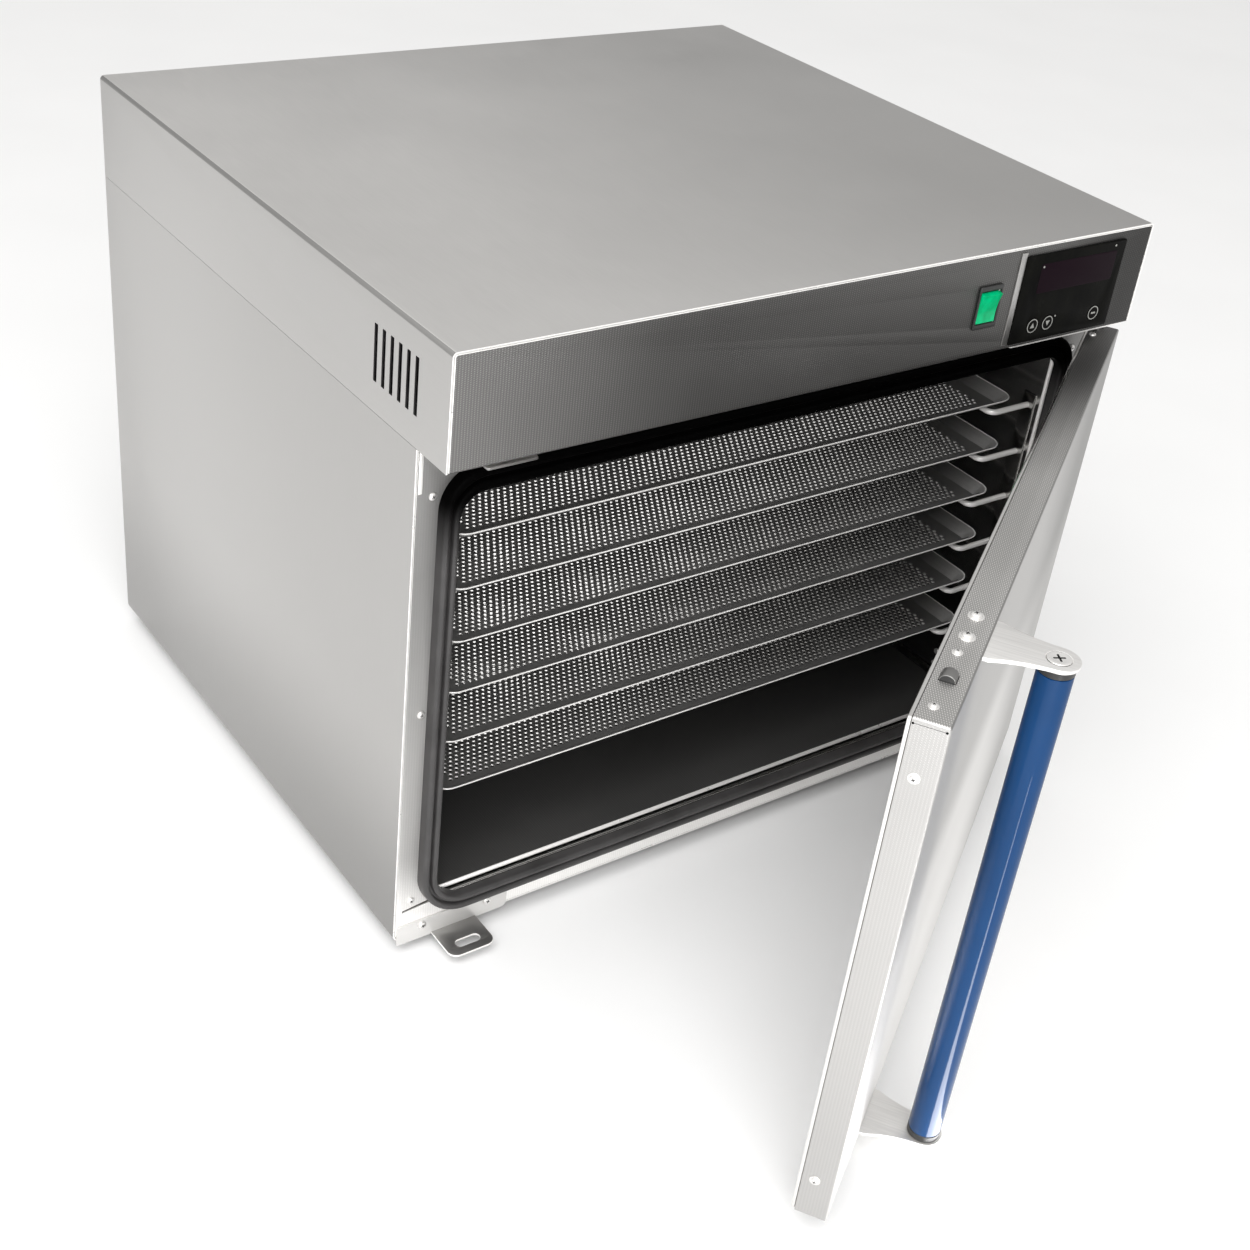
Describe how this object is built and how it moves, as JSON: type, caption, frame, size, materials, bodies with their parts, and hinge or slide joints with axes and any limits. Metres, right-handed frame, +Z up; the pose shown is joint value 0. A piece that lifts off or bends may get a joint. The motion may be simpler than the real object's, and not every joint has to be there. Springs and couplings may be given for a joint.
{
  "type": "proofing cabinet",
  "caption": "Countertop steel dough proofing cabinet with a side-hinged insulated door, perforated trays on wire runners and a control hood on top.",
  "frame": {"origin": "centre of the body's underside, at mid-width and mid-depth of the body, where the sheet meets the feet", "axes": "+X along the front towards the hinge side, +Y from the door towards the back, +Z up"},
  "size_m": [0.7226, 1.075, 0.5943],
  "materials": {
    "casing_steel": "smooth satin stainless sheet",
    "linen_steel": "stainless sheet embossed with a fine linen weave",
    "bright_steel": "bright polished stainless",
    "tray_aluminium": "used satin aluminium",
    "black_rubber": "matt",
    "black_plastic": "fine matt",
    "panel_black": "high gloss",
    "handle_blue": "glossy coated tube",
    "lens_green": "clear tinted lens, lit",
    "insulation_wool": "matt fibre",
    "circuit_board": "satin lacquer"
  },
  "bodies": {
    "cabinet": {"body_shell": "casing_steel", "hood_cover": "casing_steel", "rear_panel": "casing_steel", "hood_floor": "casing_steel", "fascia": "linen_steel", "foot_front_left": "black_rubber", "foot_front_right": "black_rubber", "foot_rear_left": "black_rubber", "foot_rear_right": "black_rubber", "front_frame": "linen_steel", "chamber_liner": "bright_steel", "insulation_jacket": "insulation_wool", "door_gasket": "black_rubber", "floor_plate": "linen_steel", "rack_left": "bright_steel", "rack_right": "bright_steel", "air_baffle": "bright_steel", "heating_element": "bright_steel", "fan_motor": "black_plastic", "temperature_probe": "bright_steel", "controller_panel": "panel_black", "controller_board": "circuit_board", "switch_bezel": "black_plastic", "terminal_block": "black_plastic", "cable_gland": "black_plastic", "mains_cable": "black_rubber", "mains_plug": "black_rubber", "catch_bracket": "casing_steel", "hinge_bracket": "casing_steel", "strike_plate": "casing_steel", "hinge_plate": "casing_steel", "hinge_pin_bottom": "bright_steel", "hinge_pin_top": "bright_steel"},
    "door": {"door_outer": "casing_steel", "door_inner": "bright_steel", "door_insulation": "insulation_wool", "hinge_bush_bottom": "black_plastic", "hinge_bush_top": "black_plastic", "handle_tube": "handle_blue", "handle_collar_bottom": "black_plastic", "handle_collar_top": "black_plastic", "handle_arm_bottom": "casing_steel", "handle_arm_top": "casing_steel", "handle_screw_bottom": "bright_steel", "handle_screw_top": "bright_steel"},
    "top_catch_nose": {"catch_top": "tray_aluminium"},
    "bottom_catch_nose": {"catch_bottom": "tray_aluminium"},
    "fan": {"fan_wheel": "tray_aluminium", "fan_shaft": "bright_steel"},
    "rocker": {"switch_rocker": "lens_green"},
    "up_key": {"key_up": "panel_black"},
    "down_key": {"key_down": "panel_black"},
    "set_key": {"key_set": "panel_black"},
    "tray_a": {"tray_1": "tray_aluminium"},
    "tray_b": {"tray_2": "tray_aluminium"},
    "tray_c": {"tray_3": "tray_aluminium"},
    "tray_d": {"tray_4": "tray_aluminium"},
    "tray_e": {"tray_5": "tray_aluminium"},
    "tray_f": {"tray_6": "tray_aluminium"}
  },
  "joints": [
    {"name": "door_hinge", "type": "hinge", "parent": "cabinet", "child": "door", "pos_m": [0.347, -0.316, 0], "axis": [0, 0, 1], "range_deg": [-33.5, 76.5]},
    {"name": "top_catch_slide", "type": "slide", "parent": "door", "child": "top_catch_nose", "axis": [0, 0, 1], "range_m": [-0.005, 0.002]},
    {"name": "bottom_catch_slide", "type": "slide", "parent": "door", "child": "bottom_catch_nose", "axis": [0, 0, 1], "range_m": [0, 0.008]},
    {"name": "fan_spin", "type": "hinge", "parent": "cabinet", "child": "fan", "pos_m": [0, 0.2, 0.25], "axis": [0, 1, 0], "continuous": true},
    {"name": "rocker_tilt", "type": "hinge", "parent": "cabinet", "child": "rocker", "pos_m": [0.164, -0.334, 0.529], "axis": [1, 0, 0], "range_deg": [-16, 0]},
    {"name": "up_key_press", "type": "slide", "parent": "cabinet", "child": "up_key", "axis": [0, 1, 0], "range_m": [0, 0.0004]},
    {"name": "down_key_press", "type": "slide", "parent": "cabinet", "child": "down_key", "axis": [0, 1, 0], "range_m": [0, 0.0004]},
    {"name": "set_key_press", "type": "slide", "parent": "cabinet", "child": "set_key", "axis": [0, 1, 0], "range_m": [0, 0.0004]},
    {"name": "tray_1_slide", "type": "slide", "parent": "cabinet", "child": "tray_a", "axis": [0, -1, 0], "range_m": [0, 0.045]},
    {"name": "tray_2_slide", "type": "slide", "parent": "cabinet", "child": "tray_b", "axis": [0, -1, 0], "range_m": [0, 0.045]},
    {"name": "tray_3_slide", "type": "slide", "parent": "cabinet", "child": "tray_c", "axis": [0, -1, 0], "range_m": [0, 0.045]},
    {"name": "tray_4_slide", "type": "slide", "parent": "cabinet", "child": "tray_d", "axis": [0, -1, 0], "range_m": [0, 0.045]},
    {"name": "tray_5_slide", "type": "slide", "parent": "cabinet", "child": "tray_e", "axis": [0, -1, 0], "range_m": [0, 0.045]},
    {"name": "tray_6_slide", "type": "slide", "parent": "cabinet", "child": "tray_f", "axis": [0, -1, 0], "range_m": [0, 0.045]}
  ]
}
